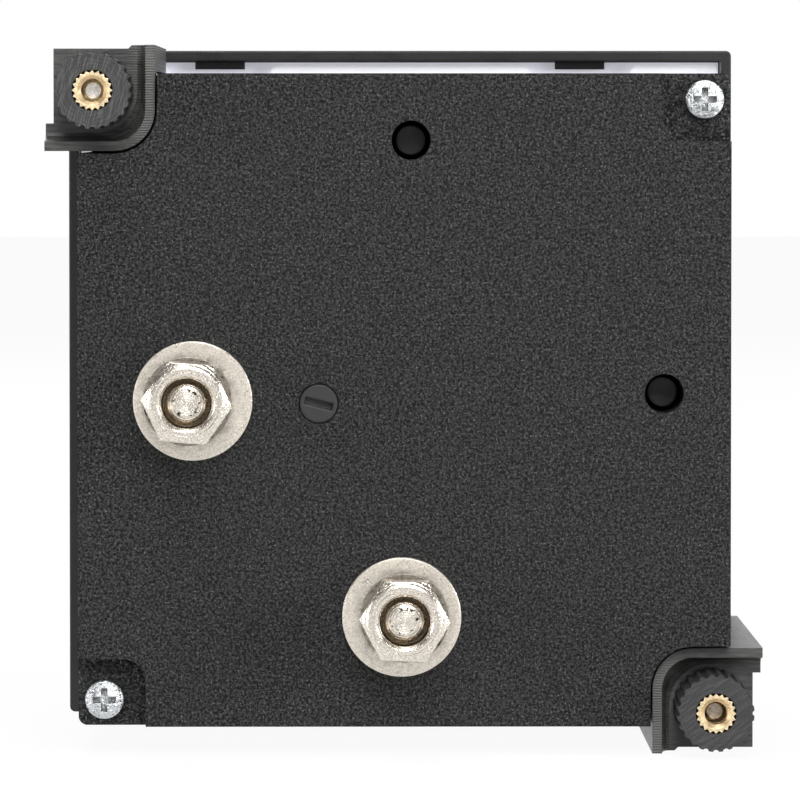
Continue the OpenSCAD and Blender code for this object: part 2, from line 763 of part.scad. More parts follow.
// The moulded frame that carries the movement, with two long pegs into the case's back
module movement_frame() {
    peg_d = 3;
    arm_w = 5;
    margin = 2;
    color("#26272a") rear_frame() difference() {
        union() {
            layer(tray_back_z, frame_plate_t) intersection() {
                square(2 * (tray_half - seat_gap), center = true);
                union() {
                    translate([pivot, pivot]) circle(yoke_r + margin);
                    for (s = [0, 1]) mirror([s, -s]) {
                        translate([pivot, pivot - arm_w / 2]) square([peg_far - pivot, arm_w]);
                        translate([peg_far - arm_w / 2, pivot - arm_w / 2])
                            square([arm_w, peg_near - pivot + arm_w]);
                        translate([peg_far, pivot - arm_w / 2]) square([tray_half - peg_far, arm_w]);
                        translate([-arm_w / 2, -tray_half]) square([arm_w, tray_half + pivot]);
                    }
                }
            }
            at_pivot() bar(yoke_d, frame_back_z, yoke_z);
            for (p = peg_places)
                translate(p) bar(peg_d, frame_back_z - frame_plate_t / 2, wall_z - peg_tube_len / 2);
        }
        at_pivot() bar(2 * gap_out_r, frame_back_z, yoke_z + cut);
        at_pivot() bar(staff_d + margin, tray_back_z - cut, frame_back_z + cut);
        rotate(180) translate([pillar_at - seat_gap, pillar_at - seat_gap, tray_back_z - cut])
            cube([2 * pillar_size, 2 * pillar_size, frame_plate_t + 2 * cut]);
        lead_places(1) bar(lead_d + 2 * press_gap, tray_back_z + frame_plate_t / 2, frame_back_z + cut);
    }
}

module yoke_ring() {
    color("#6f7378") rear_frame() at_pivot() difference() {
        bar(yoke_d, yoke_z, yoke_end_z);
        bar(2 * gap_out_r, yoke_z - cut, yoke_end_z + cut);
    }
}

module core_magnet() {
    color("#3a3b3e") rear_frame() at_pivot()
        bar(2 * core_r, core_z, core_end_z);
}

// The ring and two lugs that hold the core in the middle of the return ring
module core_holder() {
    lug_w = 3.5;
    color("#b98d3e") rear_frame() at_pivot() {
        difference() {
            bar(yoke_d, yoke_end_z, holder_end_z);
            bar(2 * gap_out_r - 2 * press_gap, yoke_end_z - cut, holder_end_z + cut);
        }
        intersection() {
            difference() {
                bar(2 * gap_out_r - press_gap, core_z, holder_end_z);
                bar(2 * (core_r + press_gap), yoke_z - cut, holder_end_z + cut);
            }
            rotate(135) translate([-yoke_r, -lug_w / 2, yoke_z]) cube([yoke_d, lug_w, yoke_h + holder_t]);
        }
    }
}

// Bar, two posts and a central hole: the bridge that a jewel screw sits in
module bridge(reach, bar_z, post_end_z) {
    post_z = min(bar_z, post_end_z);
    rotate(135) {
        translate([-reach, -bridge_w / 2, bar_z]) cube([2 * reach, bridge_w, bridge_t]);
        for (x = [-1, 1] * reach) translate([x, 0, 0]) {
            bar(bridge_w, bar_z, bar_z + bridge_t);
            translate([0, 0, post_z]) cylinder(h = abs(post_end_z - bar_z), r = post_r);
        }
    }
}

module front_bridge() {
    color("#c2a04e") rear_frame() at_pivot() difference() {
        union() {
            bridge(post_reach, front_bridge_z, tray_back_z);
            translate([0, 0, front_bridge_z - collar_h]) cylinder(h = collar_h + bridge_t, r = collar_r);
        }
        bar(2 * (jewel_r + press_gap), front_bridge_z - collar_h - cut, front_bridge_z + bridge_t + cut);
    }
}

module rear_bridge() {
    color("#c2a04e") rear_frame() at_pivot() difference() {
        union() {
            bridge(rear_post_reach, rear_bridge_z, holder_end_z);
            rotate(45) translate([0, -bridge_w / 4, rear_bridge_z])
                cube([spring_post_reach + spring_post_r, bridge_w / 2, bridge_t]);
            rotate(45) translate([spring_post_reach, 0])
                bar(2 * spring_post_r, rear_hairspring_z, rear_bridge_z + bridge_t / 2);
        }
        bar(2 * (jewel_r + press_gap), rear_bridge_z - cut, rear_bridge_z + bridge_t + cut);
    }
}

// A threaded sleeve with a conical jewel cup in its end, drawn with the cup towards +z
module jewel_screw(length) {
    cup_r = 0.6;
    cup_h = 0.7;
    slot_w = 0.35;
    difference() {
        union() {
            cylinder(h = length, r = jewel_r);
            cylinder(h = jewel_head_t, r = jewel_head_r);
        }
        translate([0, 0, length - cup_h]) cylinder(h = cup_h, r1 = 0, r2 = cup_r);
        cube([2 * jewel_head_r + cut, slot_w, slot_w], center = true);
    }
}

module jewel_front() {
    color("#d8b44a") rear_frame() at_pivot() translate([0, 0, front_jewel_z]) jewel_screw(front_jewel_len);
}

module jewel_rear() {
    color("#d8b44a") rear_frame() at_pivot() translate([0, 0, rear_jewel_z]) mirror([0, 0, 1])
        jewel_screw(rear_jewel_len);
}

// The forked lever that the zero screw swings to shift the hairspring
module zero_lever() {
    fork_out = zero_reach + pin_throw + pin_d;
    ring_w = 1;
    color("#c9ccd0") rear_frame() at_pivot() {
        difference() {
            layer(lever_z, lever_t) {
                circle(lever_ring_r + ring_w);
                rotate(225) translate([0, -lever_arm_w / 2]) square([fork_out, lever_arm_w]);
                rotate(45) translate([0, -lever_arm_w / 4])
                    square([spring_post_reach + spring_post_r, lever_arm_w / 2]);
            }
            bar(2 * lever_ring_r, lever_z - cut, lever_z + cut);
            rotate(225) translate([zero_reach - pin_d, -pin_d / 2 - move_gap, lever_z - cut])
                cube([2 * zero_reach, pin_d + 2 * move_gap, lever_t + 2 * cut]);
        }
        rotate(45) translate([spring_post_reach, 0])
            bar(2 * spring_post_r, lever_z, hairspring_z + hairspring_t);
    }
}

// A flat spiral of the given number of turns, ending at the spring post
module hairspring_shape() {
    steps = 18;
    last = round(hairspring_turns * steps);
    pitch = (spring_post_reach - spring_post_r - strip_t / 2 - hairspring_in_r) / last;
    function edge(i, side) =
        let (r = hairspring_in_r + pitch * i + side * strip_t / 2, a = 360 * (i - last) / steps)
        [r * cos(a), r * sin(a)];
    rotate(45) polygon(concat([for (i = [0:last]) edge(i, 1)], [for (i = [last:-1:0]) edge(i, -1)]));
}

module hairspring_front() {
    color("#9c6b2f") rear_frame() at_pivot() layer(hairspring_z, hairspring_t) hairspring_shape();
}

module hairspring_rear() {
    color("#9c6b2f") rear_frame() at_pivot() layer(rear_hairspring_z, hairspring_t) hairspring_shape();
}

// A staff with a foot glued to the coil and a pivot point, drawn with the point towards +z
module staff(length) {
    foot_t = 0.5;
    point_h = 0.7;
    point_d = 0.1;
    cylinder(h = foot_t, d = coil_w);
    cylinder(h = length - point_h, d = staff_d);
    translate([0, 0, length - point_h]) cylinder(h = point_h, d1 = staff_d / 2, d2 = point_d);
}

module staff_front() {
    tip_z = front_jewel_z + front_jewel_len - tip_depth;
    color("#a8abb0") rear_frame() at_pivot() translate([0, 0, winding_z]) mirror([0, 0, 1])
        staff(winding_z - tip_z);
}

module staff_rear() {
    tip_z = rear_jewel_z - rear_jewel_len + tip_depth;
    color("#a8abb0") rear_frame() at_pivot() translate([0, 0, winding_end_z]) staff(tip_z - winding_end_z);
}

// A flat rectangular ring round the core, in the plane of the pointer and its axis
module coil_ring(r_out, start_z, end_z, t) {
    difference() {
        translate([-r_out, -coil_w / 2, start_z]) cube([2 * r_out, coil_w, end_z - start_z]);
        translate([t - r_out, -coil_w, start_z + t])
            cube([2 * (r_out - t), 2 * coil_w, end_z - start_z - 2 * t]);
    }
}

module coil_former() {
    color("#c9ccd0") rear_frame() at_pivot() coil_ring(winding_in_r, former_z, former_end_z, former_t);
}

module coil_winding() {
    color("#8c3b1c") rear_frame() at_pivot() coil_ring(winding_r, winding_z, winding_end_z, winding_t);
}

module pointer() {
    color("#1b1c1e") rear_frame() at_pivot() layer(pointer_z, pointer_t) difference() {
        union() {
            circle(hub_r);
            polygon([[0, -pointer_root_w / 2], [pointer_len, -pointer_tip_w / 2],
                     [pointer_len, pointer_tip_w / 2], [0, pointer_root_w / 2]]);
        }
        circle(d = staff_d + 2 * press_gap);
    }
}

// The tail and side arms behind the pointer that carry the balance weights
module balance_cross() {
    color("#c9ccd0") rear_frame() at_pivot() layer(balance_z, balance_t) difference() {
        union() {
            circle(hub_r);
            translate([-tail_reach, -balance_arm_w / 2]) square([tail_reach, balance_arm_w]);
            translate([-balance_arm_w / 2, -side_reach]) square([balance_arm_w, 2 * side_reach]);
        }
        circle(d = staff_d + 2 * press_gap);
    }
}

module balance_weights() {
    color("#c2a04e") rear_frame() at_pivot() {
        translate([-tail_reach, 0, balance_z + balance_t]) cylinder(h = tail_weight_h, r = tail_weight_r);
        for (y = [-1, 1] * side_reach)
            translate([0, y, balance_z + balance_t]) cylinder(h = side_weight_h, r = side_weight_r);
    }
}

// ---------------------------------------------------------------- circuit

module circuit_board() {
    color("#2d6b3c") rear_frame() difference() {
        layer(board_face_z, board_t) translate([-board_edge, -board_edge]) square(board_size);
        for (i = [0, 1])
            at_terminal(i) bar(stud_neck_d + 2 * move_gap, board_face_z - cut, board_z + cut);
        for (i = [0, 1])
            lead_places(i) bar(lead_d + 2 * press_gap, board_face_z - cut, board_z + cut);
    }
}

module trimmer_body() {
    color("#2b4f9a") rear_frame() translate([trimmer_x, trimmer_y]) difference() {
        layer(board_z, trimmer_body_h) square(trimmer_body, center = true);
        bar(trimmer_shaft_d + 2 * run_gap, shaft_z, back_z);
    }
}

module trimmer_rotor() {
    slot_depth = 0.8;
    slot_turn = -14;
    face_below = 0.1;
    color("#1c1d1f") rear_frame() translate([trimmer_x, trimmer_y]) difference() {
        union() {
            bar(trimmer_d, board_z + trimmer_body_h + move_gap, back_z - face_below);
            bar(trimmer_shaft_d, shaft_z + move_gap, wall_z);
        }
        rotate(slot_turn) translate([0, 0, back_z - face_below])
            cube([trimmer_slot_len, trimmer_slot_w, 2 * slot_depth], center = true);
    }
}

// A place on the circuit board, measured from its left and lower edges
module on_board(x, y) {
    translate([x - board_edge, y - board_edge, board_face_z]) children();
}

// A round body that stands off the board on its two bent wires
module resistor() {
    body_d = 3.6;
    body_len = 9;
    wire_d = 0.7;
    wire_reach = 6.5;
    color("#c9b48a") rear_frame() on_board(resistor_x, resistor_y) translate([0, 0, -body_d / 2]) {
        rotate([0, 90, 0]) {
            cylinder(h = body_len, d = body_d, center = true);
            cylinder(h = 2 * wire_reach, d = wire_d, center = true);
        }
        for (x = [-1, 1] * (wire_reach - wire_d / 2))
            translate([x, 0, 0]) cylinder(h = body_d / 2, d = wire_d);
    }
}

module rectifier() {
    length = 8;
    width = 5.3;
    height = 3.5;
    color("#1c1d1f") rear_frame() on_board(rectifier_x, rectifier_y) translate([0, 0, -height])
        cube([length, width, height]);
}

// Where the two inner leads run: 0 from the rear bridge, 1 from the movement frame
module lead_places(i) {
    plate_lead_gap = 0.65;
    if (i == 0) at_pivot() rotate(315) translate([rear_post_reach, 0]) children();
    if (i == 1) at_pivot() rotate(75) translate([yoke_r + plate_lead_gap + lead_d / 2, 0]) children();
}

module lead_wire(i) {
    start_z = i == 0 ? rear_bridge_z + bridge_t : tray_back_z + frame_plate_t / 2;
    color("#9a2a22") rear_frame() lead_places(i) bar(lead_d, start_z, board_z + lead_d / 2);
}

// ---------------------------------------------------------------- terminals

// A hexagon of the given width across flats
module hexagon(af) { circle(d = af / cos(30), $fn = 6); }

module terminal_stud(i) {
    neck_proud = 1;
    tip_z = stud_end_z - stud_tip_len;
    thread_runout = (stud_d - stud_root_d) / 2;
    dome = [for (a = [0 : 15 : 90])
        [stud_tip_d / 2 + (stud_root_d - stud_tip_d) / 2 * cos(a), tip_z + stud_tip_len * sin(a)]];
    color("#c7c4bc") rear_frame() at_terminal(i) {
        bar(stud_d, board_z, tip_z - thread_runout);
        translate([0, 0, tip_z - thread_runout])
            cylinder(h = thread_runout, d1 = stud_d, d2 = stud_root_d);
        rotate_extrude() polygon(concat([[0, stud_end_z], [0, tip_z]], dome));
        layer(stud_head_z, stud_head_h) hexagon(nut_af);
        bar(stud_neck_d, board_face_z - board_nut_h - neck_proud, board_z);
    }
}

module solder_tag(i) {
    color("#d5d2c8") rear_frame() at_terminal(i) layer(wall_z - tag_t, tag_t) difference() {
        union() {
            circle(d = nut_af);
            rotate(90 - 90 * i) translate([0, -tag_w / 2]) square([tag_len, tag_w]);
        }
        circle(d = stud_d + 2 * press_gap);
    }
}

module board_nut(i) {
    nut_at = board_face_z - board_nut_h;
    color("#b9bcc2") rear_frame() at_terminal(i) layer(nut_at, board_nut_h) difference() {
        hexagon(board_nut_af);
        circle(d = stud_neck_d + 2 * press_gap);
    }
}

module flat_washer(i) {
    color("#c9c6bf") rear_frame() at_terminal(i) layer(back_z, washer_t)
        translate([washer_shift[i], 0]) difference() {
            circle(d = washer_d);
            circle(d = washer_hole_d);
        }
}

// A split ring whose slit leans, as a coiled strip's does
module spring_washer(i) {
    slit_turn = 200 + 130 * i;
    slit_lean = 30;
    color("#b5b3ae") rear_frame() at_terminal(i) difference() {
        bar(spring_washer_d, spring_z, spring_z + spring_washer_t);
        bar(stud_d + 4 * move_gap, spring_z - cut, nut_z + cut);
        rotate(slit_turn) translate([spring_washer_d / 2, 0, spring_z + spring_washer_t / 2])
            rotate([slit_lean, 0, 0])
                cube([spring_washer_d - stud_d + 2 * cut, spring_slit, 3 * spring_washer_t], center = true);
    }
}

// A hexagon nut with chamfered ends and a countersunk bore
module hex_nut(i) {
    bore_d = stud_d + 2 * run_gap;
    sink_h = (nut_sink_d - bore_d) / 2;
    face_r = nut_face_d / 2;
    color("#cfccc4") rear_frame() at_terminal(i) rotate(nut_turn[i]) difference() {
        intersection() {
            layer(nut_z, nut_h) hexagon(nut_af);
            rotate_extrude() polygon([[0, nut_z], [face_r, nut_z], [nut_af, nut_z + chamfer_at(nut_af)],
                                      [nut_af, nut_top_z - chamfer_at(nut_af)], [face_r, nut_top_z],
                                      [0, nut_top_z]]);
        }
        bar(bore_d, nut_z - cut, nut_top_z + cut);
        translate([0, 0, nut_top_z - sink_h]) cylinder(h = sink_h, d1 = bore_d, d2 = nut_sink_d);
    }
}

// How far the nut's end cone has fallen at a given radius
function chamfer_at(r) = (r - nut_face_d / 2) * tan(nut_chamfer);

// ---------------------------------------------------------------- clamps

// The bracket's outline, with the ribs at the ends of its two legs
module bracket_outline() {
    corner_block(bracket_in, leg_out, bracket_r);
    polygon([[leg_out - leg_t, bracket_in], [leg_out + rib_edge, bracket_in],
             [leg_out + rib_edge, bracket_in + rib_w - rib_edge], [leg_out, bracket_in + rib_w],
             [leg_out - leg_t, bracket_in + rib_w]]);
    translate([bracket_in, leg_out - leg_t]) square([rib_w, leg_t + rib_side]);
}

// The cove that falls from the rim to the floor round the thumb nut
module bracket_cove() {
    steps = 4;
    floor_near = rod_at - knob_d / 2 - cove_gap;
    rim_near = bracket_in + rim_t;
    floor_r = rod_at - floor_near;
    rim_r = bracket_r - rim_t;
    for (i = [0:steps - 1]) hull() for (k = [i, i + 1]) {
        turn = 90 * k / steps;
        near = floor_near + (rim_near - floor_near) * sin(turn);
        layer(floor_z + rim_h * (1 - cos(turn)), k == steps ? cut : slice)
            corner_block(near, bezel_half + cut, floor_r + (rim_r - floor_r) * k / steps, $fn = 48);
    }
}

module clamp_bracket(i) {
    color("#1d1e20") rear_frame() at_clamp(i) difference() {
        layer(panel_t, rim_z - panel_t) bracket_outline();
        layer(panel_t - cut, cup_z - panel_t + cut) square(leg_in);
        bracket_cove();
        translate([rod_at, rod_at]) bar(rod_hole_d, cup_z - cut, rim_z + cut);
    }
}

module clamp_rod(i) {
    color("#b9bcc2") rear_frame() at_clamp(i) translate([rod_at, rod_at]) {
        bar(rod_d, rod_foot_z, rod_end_z - rod_tip_h);
        translate([0, 0, rod_end_z - rod_tip_h])
            cylinder(h = rod_tip_h, d1 = rod_d, d2 = rod_d - 2 * rod_tip_h);
    }
}

module thumb_nut(i) {
    pocket_d = insert_d + 2 * press_gap;
    color("#1a1b1d") rear_frame() at_clamp(i) translate([rod_at, rod_at]) difference() {
        bar(knob_d, knob_z, knob_top_z);
        bar(pocket_d, knob_top_z - insert_len, knob_top_z + cut);
        bar(rod_hole_d, knob_z - cut, knob_top_z);
        for (k = [1:knob_grooves])
            rotate(360 * k / knob_grooves) translate([knob_d / 2 + groove_r / 3, 0, knob_z - cut])
                cylinder(h = knob_h + 2 * cut, r = groove_r, $fn = 8);
    }
}

// The brass insert: a toothed ring with a bored and chamfered hole
module brass_insert(i) {
    bore_d = rod_d + 2 * run_gap;
    mouth_z = knob_top_z - insert_chamfer;
    step = 180 / insert_teeth;
    points = [for (k = [0:2 * insert_teeth - 1])
        (insert_d / 2 - (k % 2) * tooth_h) * [cos(step * k), sin(step * k)]];
    color("#d9a441") rear_frame() at_clamp(i) translate([rod_at, rod_at]) difference() {
        layer(knob_top_z - insert_len, insert_len) polygon(points);
        bar(bore_d, knob_z, knob_top_z + cut);
        translate([0, 0, mouth_z])
            cylinder(h = insert_chamfer, d1 = bore_d, d2 = bore_d + 2 * insert_chamfer);
    }
}

bezel();
window();
zero_screw();
dial_tray();
dial_plate();
dial_screw(0);  // dial_screw_a
dial_screw(1);  // dial_screw_b
rear_case();
case_screw(0);  // case_screw_a
case_screw(1);  // case_screw_b
movement_frame();
yoke_ring();
core_magnet();
core_holder();
front_bridge();
rear_bridge();
jewel_front();
jewel_rear();
zero_lever();
hairspring_front();
hairspring_rear();
staff_front();
staff_rear();
coil_former();
coil_winding();
pointer();
balance_cross();
balance_weights();
circuit_board();
trimmer_body();
trimmer_rotor();
resistor();
rectifier();
lead_wire(0);  // lead_wire_a
lead_wire(1);  // lead_wire_b
terminal_stud(0);  // terminal_stud_a
terminal_stud(1);  // terminal_stud_b
solder_tag(0);  // solder_tag_a
solder_tag(1);  // solder_tag_b
board_nut(0);  // board_nut_a
board_nut(1);  // board_nut_b
flat_washer(0);  // flat_washer_a
flat_washer(1);  // flat_washer_b
spring_washer(0);  // spring_washer_a
spring_washer(1);  // spring_washer_b
hex_nut(0);  // hex_nut_a
hex_nut(1);  // hex_nut_b
clamp_bracket(0);  // clamp_bracket_a
clamp_bracket(1);  // clamp_bracket_b
clamp_rod(0);  // clamp_rod_a
clamp_rod(1);  // clamp_rod_b
thumb_nut(0);  // thumb_nut_a
thumb_nut(1);  // thumb_nut_b
brass_insert(0);  // brass_insert_a
brass_insert(1);  // brass_insert_b
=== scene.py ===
# %% [markdown]
# # An analog panel meter, dressed for its portrait
# A panel meter sits in a square hole in a cabinet door. From the front you see a quarter-circle
# scale behind a clear window, and from behind you see what the electrician sees: a black grained
# box, two bolted terminals, two locating holes, a calibration screw and two corner clamps that
# pull the front frame against the door. The solids already exist at their true size, so this
# lesson gives them their surfaces, prints the dial, sets the lamps and places the camera.

# %% Load the frame and keep its box
import json
import math

import bpy
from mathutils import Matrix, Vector


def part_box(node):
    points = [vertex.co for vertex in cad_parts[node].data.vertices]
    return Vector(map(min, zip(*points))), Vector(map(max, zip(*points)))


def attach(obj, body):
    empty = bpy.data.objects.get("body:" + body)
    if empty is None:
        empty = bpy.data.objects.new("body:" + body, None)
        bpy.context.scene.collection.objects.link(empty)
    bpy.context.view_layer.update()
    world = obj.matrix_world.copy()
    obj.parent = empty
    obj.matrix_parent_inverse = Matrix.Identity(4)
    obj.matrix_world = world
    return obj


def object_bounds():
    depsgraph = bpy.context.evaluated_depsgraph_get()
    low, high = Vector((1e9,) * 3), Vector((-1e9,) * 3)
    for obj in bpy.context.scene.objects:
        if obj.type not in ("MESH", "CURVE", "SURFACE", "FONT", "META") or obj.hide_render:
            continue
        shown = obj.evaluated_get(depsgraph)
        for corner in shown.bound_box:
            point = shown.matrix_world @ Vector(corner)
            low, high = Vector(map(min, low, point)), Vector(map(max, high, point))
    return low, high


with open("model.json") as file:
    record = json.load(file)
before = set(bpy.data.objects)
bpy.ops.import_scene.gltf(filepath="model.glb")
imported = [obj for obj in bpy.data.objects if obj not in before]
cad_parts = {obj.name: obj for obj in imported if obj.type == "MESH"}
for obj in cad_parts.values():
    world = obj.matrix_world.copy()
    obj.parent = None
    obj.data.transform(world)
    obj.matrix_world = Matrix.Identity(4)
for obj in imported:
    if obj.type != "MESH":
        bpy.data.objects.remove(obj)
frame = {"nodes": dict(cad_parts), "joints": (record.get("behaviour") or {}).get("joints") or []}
cad_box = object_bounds()
nodes = frame["nodes"]
print("solids:", len(nodes), "box in mm:", [[round(v * 1000, 1) for v in corner] for corner in cad_box])

# %% [markdown]
# ## The camera
# The terminals are the subject, so the camera stands behind the meter, 70 cm away with a long
# lens, a little above the middle and a touch to one side. A long lens keeps the square case
# nearly square, and the small rise lets the rim of the front frame show above the case. The camera
# comes first because every later choice is judged through it.

# %% Stand the camera behind the meter
CASE_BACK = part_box("rear_case")[1][1]
CAMERA_GAP = 0.700
CAMERA_RISE = math.radians(2.352)
CAMERA_SIDE = math.radians(0.5)
LENS = 309.8

aim = Vector((0.00044, CASE_BACK, 0.00006))
away = Vector((math.sin(CAMERA_SIDE) * math.cos(CAMERA_RISE),
               math.cos(CAMERA_SIDE) * math.cos(CAMERA_RISE),
               math.sin(CAMERA_RISE)))
bpy.ops.object.select_all(action="DESELECT")
bpy.ops.object.camera_add(location=aim + away * CAMERA_GAP)
camera = bpy.context.object
camera.name = "rear_camera"
camera.rotation_euler = away.to_track_quat("Z", "Y").to_euler()
camera.data.lens = LENS
camera.data.sensor_width = 36
camera.data.clip_start = 0.05
bpy.context.scene.camera = camera
print("camera stands at", [round(v, 3) for v in camera.location])

# %% [markdown]
# ## Floor, world and lamps
# Black plastic has hardly any colour of its own: what you see on it is the reflection of the room.
# So the room matters more than the paint. Here the room is bright behind the camera and in front of
# the dial, and darker at the sides and overhead, so flat faces look light while slopes, chamfers and
# grain turn dark. One small strong lamp high up behind gives the glints, and the rest are fillers.
# To the camera itself the room is plain white, and the floor nearly so: it keeps a faint shadow.

# %% A white floor
def stage_material(name, colour, seen_white):
    """A white matte sheet that the camera and shiny surfaces see almost evenly white."""
    material = bpy.data.materials.new(name)
    material.use_nodes = True
    tree = material.node_tree
    tree.nodes.clear()
    out = tree.nodes.new("ShaderNodeOutputMaterial")
    matte = tree.nodes.new("ShaderNodeBsdfDiffuse")
    matte.inputs["Color"].default_value = (*colour, 1)
    light = tree.nodes.new("ShaderNodeEmission")
    light.inputs["Strength"].default_value = 1.0
    path = tree.nodes.new("ShaderNodeLightPath")
    seen = tree.nodes.new("ShaderNodeMath")
    seen.operation = "MAXIMUM"
    share = tree.nodes.new("ShaderNodeMath")
    share.operation = "MULTIPLY"
    share.inputs[1].default_value = seen_white
    mix = tree.nodes.new("ShaderNodeMixShader")
    tree.links.new(path.outputs["Is Camera Ray"], seen.inputs[0])
    tree.links.new(path.outputs["Is Glossy Ray"], seen.inputs[1])
    tree.links.new(seen.outputs[0], share.inputs[0])
    tree.links.new(share.outputs[0], mix.inputs["Fac"])
    tree.links.new(matte.outputs[0], mix.inputs[1])
    tree.links.new(light.outputs[0], mix.inputs[2])
    tree.links.new(mix.outputs[0], out.inputs["Surface"])
    return material


bpy.ops.object.select_all(action="DESELECT")
bpy.ops.mesh.primitive_plane_add(size=6, location=(0, 0, cad_box[0][2]))
floor = bpy.context.object
floor.name = "floor"
bpy.ops.object.transform_apply(location=True, rotation=True, scale=True)
floor.data.materials.append(stage_material("white_floor", (0.85, 0.85, 0.85), 0.94))
print("floor lies at z =", round(cad_box[0][2] * 1000, 2), "mm")

# %% The room as a world
bpy.context.scene.view_settings.view_transform = "Standard"
world = bpy.data.worlds.new("room")
bpy.context.scene.world = world
world.use_nodes = True
sky = world.node_tree
sky.nodes.clear()
sky_way = sky.nodes.new("ShaderNodeTexCoord")
sky_split = sky.nodes.new("ShaderNodeSeparateXYZ")
sky_along = sky.nodes.new("ShaderNodeMath")
sky_along.operation = "ABSOLUTE"
sky_range = sky.nodes.new("ShaderNodeMapRange")
sky_range.interpolation_type = "SMOOTHSTEP"
for socket, number in (("From Min", 0.45), ("From Max", 0.95), ("To Min", 0.16), ("To Max", 0.5)):
    sky_range.inputs[socket].default_value = number
room_light = sky.nodes.new("ShaderNodeBackground")
room_seen = sky.nodes.new("ShaderNodeBackground")
sky_path = sky.nodes.new("ShaderNodeLightPath")
sky_max = sky.nodes.new("ShaderNodeMath")
sky_max.operation = "MAXIMUM"
sky_mix = sky.nodes.new("ShaderNodeMixShader")
sky_out = sky.nodes.new("ShaderNodeOutputWorld")
for background in (room_light, room_seen):
    background.inputs["Color"].default_value = (1, 1, 1, 1)
for start, end in ((sky_way.outputs["Generated"], sky_split.inputs[0]),
                   (sky_split.outputs["Y"], sky_along.inputs[0]),
                   (sky_along.outputs[0], sky_range.inputs["Value"]),
                   (sky_range.outputs["Result"], room_light.inputs["Strength"]),
                   (sky_path.outputs["Is Camera Ray"], sky_max.inputs[0]),
                   (sky_path.outputs["Is Transmission Ray"], sky_max.inputs[1]),
                   (sky_max.outputs[0], sky_mix.inputs["Fac"]),
                   (room_light.outputs[0], sky_mix.inputs[1]),
                   (room_seen.outputs[0], sky_mix.inputs[2]),
                   (sky_mix.outputs[0], sky_out.inputs["Surface"])):
    sky.links.new(start, end)


# %% Lamps
def soft_lamp(name, place, size, power):
    """A square area lamp that looks at the middle of the meter."""
    bpy.ops.object.select_all(action="DESELECT")
    bpy.ops.object.light_add(type="AREA", location=place)
    lamp = bpy.context.object
    lamp.name = name
    lamp.data.size = size
    lamp.data.energy = power
    middle = Vector((0, CASE_BACK / 2, 0))
    lamp.rotation_euler = (Vector(place) - middle).to_track_quat("Z", "Y").to_euler()
    return lamp


lamps = [
    soft_lamp("behind_above", (-0.1, 0.95, 0.62), 0.5, 9),
    soft_lamp("left_side", (0.9, 0.4, 0.1), 0.3, 3),
    soft_lamp("right_side", (-0.9, 0.5, 0.2), 0.3, 6),
    soft_lamp("overhead", (0.1, 0.15, 1.0), 0.5, 5),
    soft_lamp("front_side", (0.15, -0.9, 0.6), 0.6, 4.5),
]
print("lamps:", [(lamp.name, lamp.data.energy) for lamp in lamps])

# %% [markdown]
# ## Tools for materials
# Every finish below starts from the Principled shader and adds what a plain colour lacks: changes
# in colour and in roughness, a bump for grain or tool marks, scratches and dirt. All of them read
# Object coordinates, which are metres here, so a noise of scale 3000 has features a third of a
# millimetre across, and tool marks are written by their pitch. Turned parts take their marks from
# the distance to their own axis. A Bevel node rounds the light on the solids' sharp edges.

